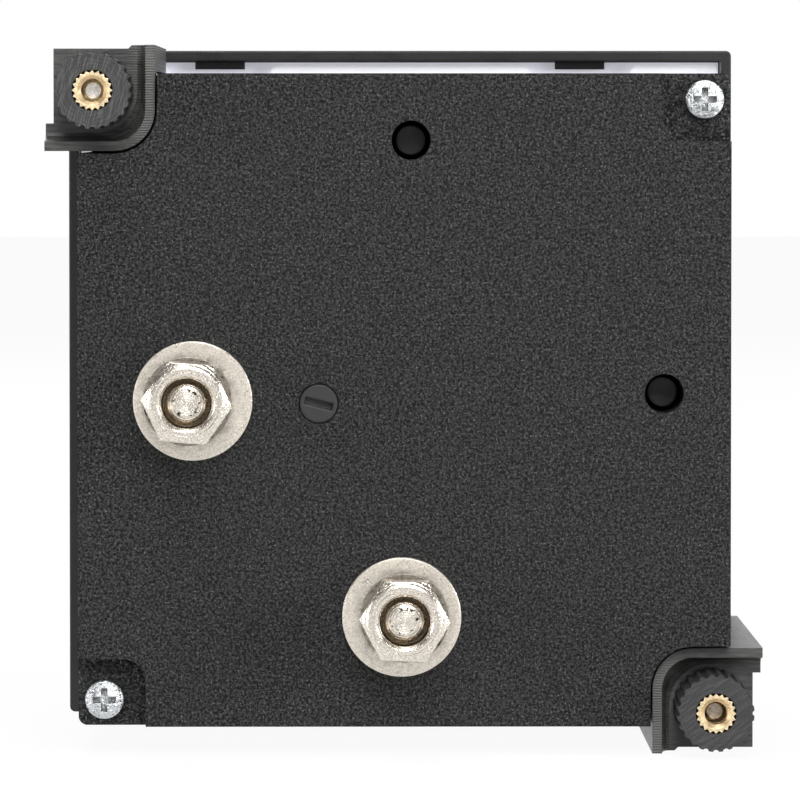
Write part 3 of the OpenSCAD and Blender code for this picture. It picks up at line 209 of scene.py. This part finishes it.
# %% A small kit for node materials
class Finish:
    """A Principled material with short words for the nodes that the finishes share."""

    def __init__(self, name, colour, roughness, metallic=0.0, edge=0.00012):
        self.material = bpy.data.materials.new(name)
        self.material.use_nodes = True
        self.tree = self.material.node_tree
        self.shader = self.tree.nodes["Principled BSDF"]
        self.set("Base Color", (*colour, 1))
        self.set("Roughness", roughness)
        self.set("Metallic", metallic)
        self.where = self.tree.nodes.new("ShaderNodeTexCoord").outputs["Object"]
        self.normal = None
        if edge:
            bevel = self.tree.nodes.new("ShaderNodeBevel")
            bevel.samples = 4
            bevel.inputs["Radius"].default_value = edge
            self.normal = bevel.outputs["Normal"]
            self.join(self.normal, self.shader.inputs["Normal"])

    def set(self, socket, value):
        self.shader.inputs[socket].default_value = value

    def join(self, a, b):
        self.tree.links.new(a, b)

    def placed(self, turn=(0, 0, 0), scale=(1, 1, 1), shift=(0, 0, 0), kind="POINT"):
        """Object coordinates through a Mapping node; kind TEXTURE turns them before it divides by scale."""
        mapping = self.tree.nodes.new("ShaderNodeMapping")
        mapping.vector_type = kind
        mapping.inputs["Rotation"].default_value = turn
        mapping.inputs["Scale"].default_value = scale
        mapping.inputs["Location"].default_value = shift
        self.join(self.where, mapping.inputs["Vector"])
        return mapping.outputs["Vector"]

    def axis(self, name, of=None):
        """One coordinate, X, Y or Z, of a place or a direction."""
        split = self.tree.nodes.new("ShaderNodeSeparateXYZ")
        self.join(of or self.where, split.inputs[0])
        return split.outputs[name]

    def facing(self, name):
        """How far the surface faces along X, Y or Z, from 0 to 1."""
        geometry = self.tree.nodes.new("ShaderNodeNewGeometry")
        return self.math("ABSOLUTE", self.axis(name, geometry.outputs["Normal"]))

    def radius(self, centre):
        """Distance from the axis that runs along Y through centre."""
        length = self.tree.nodes.new("ShaderNodeVectorMath")
        length.operation = "LENGTH"
        self.join(self.placed(scale=(1, 0, 1), shift=(-centre[0], 0, -centre[1])), length.inputs[0])
        return length.outputs["Value"]

    def noise(self, scale, detail=3.0, rough=0.55, at=None, warp=0.0):
        noise = self.tree.nodes.new("ShaderNodeTexNoise")
        noise.inputs["Scale"].default_value = scale
        noise.inputs["Detail"].default_value = detail
        noise.inputs["Roughness"].default_value = rough
        noise.inputs["Distortion"].default_value = warp
        self.join(at or self.where, noise.inputs["Vector"])
        return noise.outputs["Fac"]

    def scratches(self, turn, length, width, start=0.62, end=0.7):
        """Thin straight marks that lie in the meter's plane, turned about Y."""
        at = self.placed((0, turn, 0), (length, width, width), kind="TEXTURE")
        return self.ramp(self.noise(1, 2, 0.5, at), 0, 1, start, end)

    def waves(self, along, pitch, warp=0.0, warp_scale=900):
        """Even tool marks, from 0 to 1, along a coordinate or a radius."""
        phase = self.math("MULTIPLY", along, 2 * math.pi / pitch)
        if warp:
            phase = self.math("ADD", phase, self.math("MULTIPLY", self.noise(warp_scale, 2), warp))
        return self.ramp(self.math("SINE", phase), 0, 1, -1, 1)

    def ramp(self, value, low, high, start=0.3, end=0.7):
        """Maps value from start..end to low..high, as numbers or colours."""
        if isinstance(low, tuple):
            node = self.tree.nodes.new("ShaderNodeValToRGB")
            for stop, place, colour in zip(node.color_ramp.elements, (start, end), (low, high)):
                stop.position = place
                stop.color = (*colour, 1)
            self.join(value, node.inputs["Fac"])
            return node.outputs["Color"]
        node = self.tree.nodes.new("ShaderNodeMapRange")
        for socket, number in (("From Min", start), ("From Max", end), ("To Min", low), ("To Max", high)):
            node.inputs[socket].default_value = number
        self.join(value, node.inputs["Value"])
        return node.outputs["Result"]

    def mix(self, share, first, second):
        """A colour that goes from first to second as share goes from 0 to 1."""
        node = self.tree.nodes.new("ShaderNodeMix")
        node.data_type = "RGBA"
        self.join(share, node.inputs[0])
        for socket, value in ((node.inputs[6], first), (node.inputs[7], second)):
            if isinstance(value, tuple):
                socket.default_value = (*value, 1)
            else:
                self.join(value, socket)
        return node.outputs[2]

    def crevice(self, reach):
        """Grows from 0 in the open to 1 in the solid's own inner corners."""
        shade = self.tree.nodes.new("ShaderNodeAmbientOcclusion")
        shade.only_local = True
        shade.samples = 8
        shade.inputs["Distance"].default_value = reach
        return self.ramp(shade.outputs["AO"], 1, 0, 0.3, 0.95)

    def colour(self, value):
        self.join(value, self.shader.inputs["Base Color"])

    def stain(self, share, colour):
        """Lays another colour over the one that is there already."""
        below = self.shader.inputs["Base Color"].links[0].from_socket
        self.colour(self.mix(share, below, colour))

    def roughness(self, value):
        self.join(value, self.shader.inputs["Roughness"])

    def glow(self, colour, strength):
        self.set("Emission Color", (*colour, 1))
        self.set("Emission Strength", strength)

    def bump(self, height, depth, strength=1.0):
        """Adds a bump, whose depth is in metres, on top of what is there already."""
        bump = self.tree.nodes.new("ShaderNodeBump")
        bump.inputs["Distance"].default_value = depth
        bump.inputs["Strength"].default_value = strength
        self.join(height, bump.inputs["Height"])
        if self.normal:
            self.join(self.normal, bump.inputs["Normal"])
        self.normal = bump.outputs["Normal"]
        self.join(self.normal, self.shader.inputs["Normal"])

    def math(self, operation, a, b=None):
        node = self.tree.nodes.new("ShaderNodeMath")
        node.operation = operation
        for socket, value in zip(node.inputs, (a, b)):
            if value is None:
                continue
            if isinstance(value, (int, float)):
                socket.default_value = value
            else:
                self.join(value, socket)
        return node.outputs[0]


def dress(finish, *names):
    """Gives a finish to CAD nodes through their material slots."""
    for name in names:
        for slot in nodes[name].material_slots:
            slot.material = finish.material


def axis_of(name):
    """The X and Z of a turned solid's own axis."""
    low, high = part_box(name)
    return (low[0] + high[0]) / 2, (low[2] + high[2]) / 2


# %% [markdown]
# ## Black plastics
# The case is moulded in a tool whose walls were eroded by sparks, which leaves a coarse grain whose
# glitter is painted as pale specks in its colour. The front frame is polished. The clamps and their
# thumb nuts are satin: they carry flow lines, fine ribs across the rim where the cutter ran, whose
# crests carry a painted highlight, and arcs where the screwdriver slipped, whose tone differs from
# one knob to the other as painted light and shade.

# %% The grained case
case_black = Finish("grained_case_black", (0.02, 0.02, 0.02), 0.5, edge=0.0002)
grain = case_black.noise(3600, 3, 0.65, warp=0.5)
# painted highlight: pale specks laid into the colour stand in for glints on the grain
painted_glints = case_black.ramp(case_black.noise(4300, 2, 0.6), 0, 1, 0.57, 0.7)
worm = case_black.ramp(grain, (0.0008, 0.0009, 0.001), (0.034, 0.0346, 0.0342), 0.44, 0.6)
case_black.colour(case_black.mix(painted_glints, worm, (0.115, 0.117, 0.114)))
case_black.roughness(case_black.ramp(grain, 0.62, 0.38, 0.42, 0.6))
case_black.set("Specular IOR Level", 0.2)
case_black.bump(grain, 0.0003, 1.0)
dress(case_black, "rear_case")

# %% The polished frame
frame_black = Finish("frame_black", (0.012, 0.012, 0.013), 0.28, edge=0.0003)
frame_black.roughness(frame_black.ramp(frame_black.noise(220, 4), 0.22, 0.4))
frame_black.bump(frame_black.noise(2600, 3), 0.00001, 0.6)
dress(frame_black, "bezel", "zero_screw")


# %% The clamps
def clamp_finish(name, bracket, rim_side):
    """Satin black with ribs across the rim that lies at one side of the bracket; the ribs carry a painted
    highlight.
    """
    finish = Finish(name, (0.02, 0.02, 0.02), 0.4, edge=0.00015)
    low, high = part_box(bracket)
    rim = high[0] if rim_side > 0 else low[0]
    off_rim = finish.math("MULTIPLY", finish.math("SUBTRACT", finish.axis("X"), rim), -rim_side)
    near_rim = finish.ramp(off_rim, 1, 0, 0.0012, 0.0032)
    rib_relief_and_sheen = finish.math("MULTIPLY", finish.waves(finish.axis("Z"), 0.00026, 5.0, 700), near_rim)
    flow = finish.noise(1, 5, 0.65, finish.placed(scale=(350, 1800, 2600)), warp=0.8)
    speck = finish.noise(5200, 2, 0.6)
    finish.colour(finish.ramp(flow, (0.016, 0.0165, 0.016), (0.08, 0.082, 0.077), 0.36, 0.72))
    # painted highlight: the ribs are laid in a paler colour for the light on their crests; the bump further
    # down gives their real relief
    finish.stain(rib_relief_and_sheen, (0.095, 0.097, 0.09))
    side = finish.ramp(finish.facing("Y"), 0.12, 0.0, 0.1, 0.4)
    finish.roughness(finish.math("SUBTRACT", finish.ramp(flow, 0.34, 0.56), side))
    finish.bump(flow, 0.00006, 0.8)
    finish.bump(rib_relief_and_sheen, 0.00004, 0.8)
    finish.bump(speck, 0.00002, 0.7)
    dress(finish, bracket)


def knob_finish(name, knob, turn, mark_tone_and_light):
    """Satin black with arcs about the knob's axis and a few straight scuffs; the pale tone of these marks
    is given per knob and carries painted light and shade.
    """
    finish = Finish(name, (0.03, 0.03, 0.03), 0.45, edge=0.0001)
    out = finish.radius(axis_of(knob))
    arcs = finish.waves(out, 0.0004, 16.0, 800)
    scuffs = finish.scratches(turn, 0.0022, 0.00018, 0.46, 0.7)
    speck = finish.noise(4200, 3, 0.6)
    shade = finish.math("MULTIPLY", finish.math("ADD", finish.math("MULTIPLY", arcs, 0.35), scuffs), 0.7)
    finish.colour(finish.ramp(shade, (0.016, 0.016, 0.0165), (mark_tone_and_light, mark_tone_and_light, 0.97 * mark_tone_and_light), 0.1, 0.95))
    finish.roughness(finish.ramp(speck, 0.36, 0.58))
    finish.bump(scuffs, 0.00003, 0.8)
    finish.bump(speck, 0.00003, 0.7)
    dress(finish, knob)


clamp_finish("clamp_black_a", "clamp_bracket_a", -1)
clamp_finish("clamp_black_b", "clamp_bracket_b", 1)
# painted light and shade: both knobs share one finish, but their marks get different tones, darker on b,
# for how light falls on each
knob_finish("thumb_nut_black_a", "thumb_nut_a", math.radians(75), 0.078)
knob_finish("thumb_nut_black_b", "thumb_nut_b", math.radians(35), 0.045)

inner_black = Finish("inner_black", (0.015, 0.015, 0.016), 0.5, edge=0.0003)
inner_black.roughness(inner_black.ramp(inner_black.noise(500, 3), 0.36, 0.55))
inner_black.bump(inner_black.noise(3200, 2), 0.00002, 0.6)
dress(inner_black, "movement_frame", "trimmer_rotor", "rectifier")


# %% [markdown]
# ## Metals
# The terminals are nickel plated, a warm white metal with pits and fine scratches; brown painted shade
# darkens its inner corners, the sides of the nuts and spring washers and the outer ring of each stud's
# end. The ends of the studs keep the rings of the lathe, and their dents from the bench are painted as
# dark shade spots. The case screws are zinc plated, bluer and duller, with a torn cross. The inserts
# are bare, sandy brass.

# %% A worn plated metal
def plated(name, colour, pit_and_shade_colour, smooth, rough, spot=0.66, turned=None, pitch=0.0002, edge=0.0001,
           corner_shade=0.85):
    """Metal with blotches, pits, scratches, painted shade in its own inner corners and, where it was
    turned, rings about its axis.
    """
    finish = Finish(name, colour, rough, 1.0, edge)
    blotch = finish.noise(1500, 5, 0.62)
    speck = finish.noise(5600, 2, 0.6)
    marks = finish.math("MAXIMUM", finish.scratches(0.6, 0.0022, 0.00011),
                        finish.scratches(-0.9, 0.0016, 0.00013, 0.64, 0.72))
    worn = finish.ramp(speck, tuple(0.72 * c for c in colour), colour, 0.36, 0.56)
    worn = finish.mix(finish.ramp(blotch, 0, 0.55, 0.52, 0.7), worn, tuple(0.6 * c for c in colour))
    pits = finish.ramp(finish.noise(2300, 4, 0.7), 0, 0.8, spot, spot + 0.05)
    # painted shade: the crevice mask darkens the solid's own inner corners in the same colour as the real
    # pits
    pits_and_corner_shade = finish.math("MAXIMUM", pits, finish.math("MULTIPLY", finish.crevice(0.0007), corner_shade))
    finish.colour(finish.mix(pits_and_corner_shade, worn, pit_and_shade_colour))
    finish.roughness(finish.ramp(blotch, smooth, rough, 0.35, 0.65))
    finish.bump(blotch, 0.00004, 0.6)
    finish.bump(speck, 0.000015, 0.8)
    finish.bump(marks, 0.00002, 0.7)
    if turned:
        finish.bump(finish.waves(finish.radius(turned), pitch, 2.5), 0.000025, 0.7)
    return finish


NICKEL = (0.84, 0.775, 0.685)
BROWN = (0.12, 0.075, 0.035)
FLAT_EDGE = 0.00128  # radius at which the stud's flat end turns into its dome
for side in ("a", "b"):
    centre = axis_of("terminal_stud_" + side)

    washer = plated("nickel_washer_" + side, NICKEL, BROWN, 0.24, 0.42, 0.68, edge=0.0002)
    under_nut = washer.ramp(washer.radius(centre), 1, 0, 0.0044, 0.0054)
    rubbed = washer.ramp(washer.noise(900, 4, 0.7), 0, 0.8, 0.44, 0.62)
    washer.stain(washer.math("MULTIPLY", under_nut, rubbed), (0.3, 0.265, 0.22))
    dress(washer, "flat_washer_" + side, "solder_tag_" + side)

    nut = plated("nickel_nut_" + side, NICKEL, BROWN, 0.13, 0.3, 0.67,
                 turned=centre, pitch=0.00034, edge=0.00018)
    # painted shade: faces that turn away from Y, the hex sides and chamfers, are darkened brown
    nut.stain(nut.ramp(nut.facing("Y"), 0.75, 0, 0.05, 0.35), (0.2, 0.165, 0.12))
    dress(nut, "hex_nut_" + side)

    spring = plated("nickel_spring_" + side, (0.36, 0.325, 0.28), (0.03, 0.02, 0.012), 0.22, 0.4, 0.56)
    # painted shade: faces that turn away from Y, the washer's sides, are darkened nearly black
    spring.stain(spring.ramp(spring.facing("Y"), 0.9, 0, 0.1, 0.6), (0.03, 0.024, 0.018))
    dress(spring, "spring_washer_" + side)

    stud = plated("nickel_stud_" + side, NICKEL, (0.05, 0.045, 0.04), 0.16, 0.34, 0.64,
                  turned=centre, pitch=0.00024, corner_shade=0.3)
    out = stud.radius(centre)
    # painted shade: the outer ring of the stud's end, down in the nut's bore, is darkened brown
    stud.stain(stud.ramp(out, 0, 0.5, 0.0021, 0.0025), (0.22, 0.18, 0.13))
    # painted shade: dark spots near the edge of the flat end stand in for the shade in dents; the dents
    # themselves are not shaped
    off_edge = stud.math("ABSOLUTE", stud.math("SUBTRACT", out, FLAT_EDGE))
    dented = stud.noise(1500, 3, 0.6, stud.placed(shift=(7 * centre[1], 0, 0)))
    on_edge = stud.ramp(off_edge, 1, 0, 0.0001, 0.0003)
    painted_dent_shade = stud.math("MULTIPLY", on_edge, stud.ramp(dented, 0, 1, 0.55, 0.6))
    stud.stain(painted_dent_shade, (0.015, 0.014, 0.012))
    dress(stud, "terminal_stud_" + side)
print("nickel finishes for terminals a and b")

# %% Screws, rods and inserts
ZINC = (0.66, 0.685, 0.70)
zinc = plated("zinc_plate", ZINC, (0.1, 0.1, 0.1), 0.2, 0.42, 0.58, edge=0.0002)
zinc.bump(zinc.noise(1500, 3, 0.65), 0.0003, 1.0)
dress(zinc, "case_screw_a", "case_screw_b")
steel = plated("plated_steel", ZINC, (0.1, 0.09, 0.08), 0.25, 0.42)
dress(steel, "dial_screw_a", "dial_screw_b", "board_nut_a", "board_nut_b", "staff_front", "staff_rear")
# painted light and shade: both clamp rods are the same plated steel; rod a's end is painted pale for the
# light on it, and rod b's, deeper in its insert, dark for the shade there
dress(plated("rod_painted_light", (0.86, 0.86, 0.85), (0.3, 0.29, 0.27), 0.22, 0.4, 0.6), "clamp_rod_a")
dress(plated("rod_painted_shade", (0.42, 0.37, 0.32), (0.08, 0.055, 0.04), 0.25, 0.5, 0.58), "clamp_rod_b")
brass = plated("sandy_brass", (0.86, 0.69, 0.44), (0.22, 0.12, 0.04), 0.3, 0.5, 0.7)
dress(brass, "brass_insert_a", "brass_insert_b", "core_holder", "front_bridge", "rear_bridge",
      "jewel_front", "jewel_rear", "balance_weights")


# %% The movement's metals
def plain_metal(name, colour, smooth, rough, *names):
    finish = Finish(name, colour, rough, 1.0)
    blotch = finish.noise(900, 4, 0.6)
    finish.roughness(finish.ramp(blotch, smooth, rough))
    finish.colour(finish.ramp(blotch, tuple(0.8 * c for c in colour), colour, 0.35, 0.6))
    finish.bump(blotch, 0.00001, 0.5)
    dress(finish, *names)


plain_metal("soft_iron", (0.36, 0.37, 0.39), 0.35, 0.55, "yoke_ring")
plain_metal("magnet_alloy", (0.16, 0.16, 0.17), 0.45, 0.65, "core_magnet")
plain_metal("rolled_aluminium", (0.80, 0.81, 0.83), 0.25, 0.4, "zero_lever", "coil_former", "balance_cross")
plain_metal("spring_bronze", (0.72, 0.46, 0.22), 0.2, 0.35, "hairspring_front", "hairspring_rear")
plain_metal("varnished_copper", (0.62, 0.24, 0.11), 0.2, 0.4, "coil_winding")

# %% [markdown]
# ## Pale plastics, dial and window
# The dial tray is a milky moulding. Light that enters at the front runs inside it and comes out at
# its edges; that glow is painted as a faint violet emission near the tray's outer edge. The dial is
# enamelled sheet. The window is clear plastic with a satin flange that glows with the same painted
# emission: light passes through the pane to the dial, and it is told so with a Light Path node,
# because a plain glass shader would keep the dial in shade.

# %% Tray, dial, board and leads
tray_white = Finish("tray_white", (0.82, 0.82, 0.87), 0.35, edge=0.0002)
tray_white.colour(tray_white.ramp(tray_white.noise(160, 3), (0.78, 0.78, 0.84), (0.86, 0.86, 0.9)))
tray_white.bump(tray_white.noise(1200, 2), 0.00001, 0.4)
tray_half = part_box("rear_case")[1][0]
outer = tray_white.math("MAXIMUM", tray_white.math("ABSOLUTE", tray_white.axis("X")),
                        tray_white.math("ABSOLUTE", tray_white.axis("Z")))
# painted light: emission near the tray's outer edge makes it glow faintly violet, in place of light piped
# through the moulding
tray_white.glow((0.92, 0.92, 1.0), 0.0)
tray_white.join(tray_white.ramp(outer, 0, 0.34, tray_half - 0.0006, tray_half - 0.0004),
                tray_white.shader.inputs["Emission Strength"])
dress(tray_white, "dial_tray")

dial_white = Finish("dial_enamel", (0.88, 0.88, 0.85), 0.45, edge=0.0001)
dial_white.colour(dial_white.ramp(dial_white.noise(300, 4), (0.85, 0.85, 0.82), (0.9, 0.9, 0.875)))
dial_white.bump(dial_white.noise(2500, 2), 0.000006, 0.5)
dress(dial_white, "dial_plate")

board_green = Finish("board_green", (0.03, 0.16, 0.06), 0.3)
board_green.colour(board_green.ramp(board_green.noise(800, 3), (0.02, 0.12, 0.045), (0.04, 0.2, 0.08)))
dress(board_green, "circuit_board")
lacquer = Finish("component_lacquer", (0.42, 0.34, 0.2), 0.4)
lacquer.colour(lacquer.ramp(lacquer.noise(600, 3), (0.36, 0.28, 0.16), (0.48, 0.4, 0.25)))
dress(lacquer, "resistor", "trimmer_body")
lead_red = Finish("lead_red", (0.4, 0.04, 0.03), 0.4)
lead_red.colour(lead_red.ramp(lead_red.noise(900, 2), (0.34, 0.03, 0.02), (0.46, 0.05, 0.04)))
dress(lead_red, "lead_wire_a", "lead_wire_b")
pointer_black = Finish("pointer_lacquer", (0.01, 0.01, 0.01), 0.35)
pointer_black.roughness(pointer_black.ramp(pointer_black.noise(900, 3), 0.28, 0.45))
dress(pointer_black, "pointer")

# %% The clear window with its satin flange, which glows with painted light
clear = Finish("window_clear", (0.97, 0.98, 0.99), 0.02, edge=0)
clear.set("Transmission Weight", 1.0)
clear.set("IOR", 1.49)
clear.roughness(clear.ramp(clear.noise(120, 4), 0.01, 0.035))
satin_and_glow = clear.tree.nodes.new("ShaderNodeBsdfPrincipled")
satin_and_glow.inputs["Base Color"].default_value = (0.8, 0.8, 0.87, 1)
satin_and_glow.inputs["Roughness"].default_value = 0.4
# painted light: the flange glows faintly violet with emission, though no lamp is there
satin_and_glow.inputs["Emission Color"].default_value = (0.92, 0.92, 1.0, 1)
satin_and_glow.inputs["Emission Strength"].default_value = 0.3
flange_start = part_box("dial_tray")[1][0] - 0.0025
out_x = clear.math("ABSOLUTE", clear.axis("X"))
out_z = clear.math("ABSOLUTE", clear.axis("Z"))
on_flange = clear.math("GREATER_THAN", clear.math("MAXIMUM", out_x, out_z), flange_start)
open_to_light = clear.tree.nodes.new("ShaderNodeBsdfTransparent")
window_path = clear.tree.nodes.new("ShaderNodeLightPath")
flange_mix = clear.tree.nodes.new("ShaderNodeMixShader")
window_mix = clear.tree.nodes.new("ShaderNodeMixShader")
clear.join(on_flange, flange_mix.inputs["Fac"])
clear.join(clear.shader.outputs[0], flange_mix.inputs[1])
clear.join(satin_and_glow.outputs[0], flange_mix.inputs[2])
clear.join(window_path.outputs["Is Shadow Ray"], window_mix.inputs["Fac"])
clear.join(flange_mix.outputs[0], window_mix.inputs[1])
clear.join(open_to_light.outputs[0], window_mix.inputs[2])
clear.join(window_mix.outputs[0], clear.tree.nodes["Material Output"].inputs["Surface"])
dress(clear, "window")

# %% [markdown]
# ## The printed dial
# A 90 degree scale is printed on the enamel: an arc, a line for every two parts in a hundred, a
# longer one at each ten and a number at each twenty. Ink is a film, so every mark is a sheet a
# fiftieth of a millimetre thick that lies on the dial's face. The arc is spun from one short edge
# about the pointer's axis, the lines are copies of one bar, and the numbers are text made a mesh.

# %% Facts of the scale
swing = next(joint for joint in frame["joints"] if joint["name"] == "pointer_swing")
AXIS_X, _, AXIS_Z = swing["pos_m"]
DIAL_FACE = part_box("dial_plate")[0][1]
INK = 0.00002
ARC_R = 0.0390
ARC_W = 0.00035
TICK_W = 0.0003
TICK_SHORT = 0.0024
TICK_LONG = 0.0044
NUMBER_R = 0.0468
NUMBER_SIZE = 0.0036
SCALE_END = 100
SWEEP = math.radians(90)
AXIS = (AXIS_X, DIAL_FACE, AXIS_Z)
print("pointer axis in mm:", round(AXIS_X * 1000, 2), round(AXIS_Z * 1000, 2))

# %% Ink
ink = Finish("dial_ink", (0.012, 0.012, 0.012), 0.5, edge=0)
ink.roughness(ink.ramp(ink.noise(1500, 3), 0.42, 0.6))
ink.colour(ink.ramp(ink.noise(2600, 2), (0.009, 0.009, 0.009), (0.02, 0.02, 0.021)))


def print_on_dial(piece, name):
    """Gives a flat print its name and ink, and fixes it to the meter's body."""
    piece.name = name
    piece.data.materials.clear()
    piece.data.materials.append(ink.material)
    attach(piece, "root")


def ink_bar(inner, outer, width):
    """A flat bar at the scale's zero, which points away from the pointer's axis along -X."""
    bpy.ops.object.select_all(action="DESELECT")
    middle = (AXIS_X - (inner + outer) / 2, DIAL_FACE - INK / 2, AXIS_Z)
    bpy.ops.mesh.primitive_cube_add(size=1, location=middle)
    bar = bpy.context.object
    bar.scale = (outer - inner, INK, width)
    bpy.ops.object.transform_apply(location=True, rotation=True, scale=True)
    return bar


def spread_over_scale(bar, steps):
    """Copies a bar's faces over the quarter circle, one copy for each step of the scale."""
    bpy.ops.object.mode_set(mode="EDIT")
    bpy.ops.mesh.select_all(action="SELECT")
    bpy.ops.mesh.spin(steps=steps, dupli=True, angle=SWEEP, center=AXIS, axis=(0, -1, 0))
    bpy.ops.mesh.select_all(action="SELECT")
    bpy.ops.mesh.normals_make_consistent(inside=False)
    bpy.ops.object.mode_set(mode="OBJECT")
    return bar


# %% The lines of the scale
minor_lines = spread_over_scale(ink_bar(ARC_R, ARC_R + TICK_SHORT, TICK_W), SCALE_END // 2)
major_lines = spread_over_scale(ink_bar(ARC_R, ARC_R + TICK_LONG, 1.6 * TICK_W), SCALE_END // 10)
print_on_dial(minor_lines, "scale_minor_lines")
print_on_dial(major_lines, "scale_major_lines")
print("line faces:", len(minor_lines.data.polygons), len(major_lines.data.polygons))

# %% The arc that the lines stand on
ARC_STEPS = 72
arc = ink_bar(ARC_R - ARC_W, ARC_R, 0.0001)
bpy.ops.object.mode_set(mode="EDIT")
bpy.ops.mesh.select_all(action="DESELECT")
bpy.ops.object.mode_set(mode="OBJECT")
for face in arc.data.polygons:
    face.select = face.normal.z > 0.9
bpy.ops.object.mode_set(mode="EDIT")
bpy.ops.mesh.spin(steps=ARC_STEPS, angle=SWEEP, center=AXIS, axis=(0, -1, 0))
bpy.ops.mesh.select_all(action="SELECT")
bpy.ops.mesh.remove_doubles(threshold=0.000001)
bpy.ops.mesh.select_all(action="SELECT")
bpy.ops.mesh.normals_make_consistent(inside=False)
bpy.ops.object.mode_set(mode="OBJECT")
print_on_dial(arc, "scale_arc")
reach = [Vector((v.co.x - AXIS_X, 0, v.co.z - AXIS_Z)).length for v in arc.data.vertices]
print("arc radius in mm:", round(min(reach) * 1000, 2), round(max(reach) * 1000, 2))

# %% The numbers
for number in range(0, SCALE_END + 1, 20):
    turn = SWEEP * number / SCALE_END
    bpy.ops.object.select_all(action="DESELECT")
    bpy.ops.object.text_add(location=(0, 0, 0))
    text = bpy.context.object
    text.data.body = str(number)
    text.data.size = NUMBER_SIZE
    text.data.align_x = "CENTER"
    text.data.align_y = "CENTER"
    text.data.extrude = INK / 2
    bpy.ops.object.convert(target="MESH")
    text = bpy.context.object
    text.rotation_euler = (math.radians(90), 0, 0)
    text.location = (AXIS_X - NUMBER_R * math.cos(turn), DIAL_FACE - INK / 2,
                     AXIS_Z + NUMBER_R * math.sin(turn))
    bpy.ops.object.transform_apply(location=True, rotation=True, scale=True)
    print_on_dial(text, "number_" + str(number))
print("numbers:", list(range(0, SCALE_END + 1, 20)))
